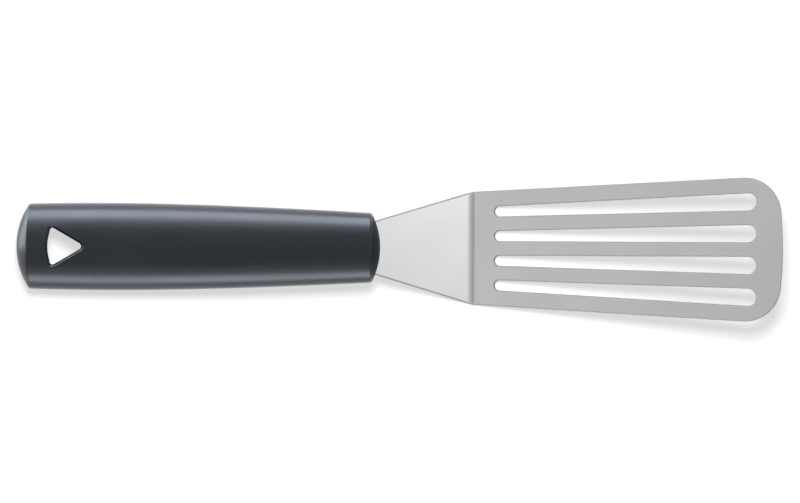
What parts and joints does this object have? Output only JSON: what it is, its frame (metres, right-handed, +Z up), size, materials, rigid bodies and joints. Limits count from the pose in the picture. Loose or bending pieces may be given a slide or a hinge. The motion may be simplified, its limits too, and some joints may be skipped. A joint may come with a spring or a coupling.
{
  "type": "slotted offset spatula",
  "caption": "Hand spatula with a cranked, slotted stainless steel blade, tapered neck and black moulded handle with a three-sided hang hole, for lifting and turning food.",
  "frame": {"origin": "on the surface that the spatula lies on, under the middle of its footprint", "axes": "+X from the handle's butt to the blade's front edge, +Z up from the surface, +Y to the left of the blade seen from the handle"},
  "size_m": [0.2734, 0.0512, 0.0286],
  "materials": {
    "blade_steel": "satin",
    "core_plastic": "moulded",
    "grip_plastic": "fine satin texture"
  },
  "bodies": {
    "root": {"slotted_blade": "blade_steel", "handle_core": "core_plastic", "handle_grip": "grip_plastic"}
  },
  "joints": []
}
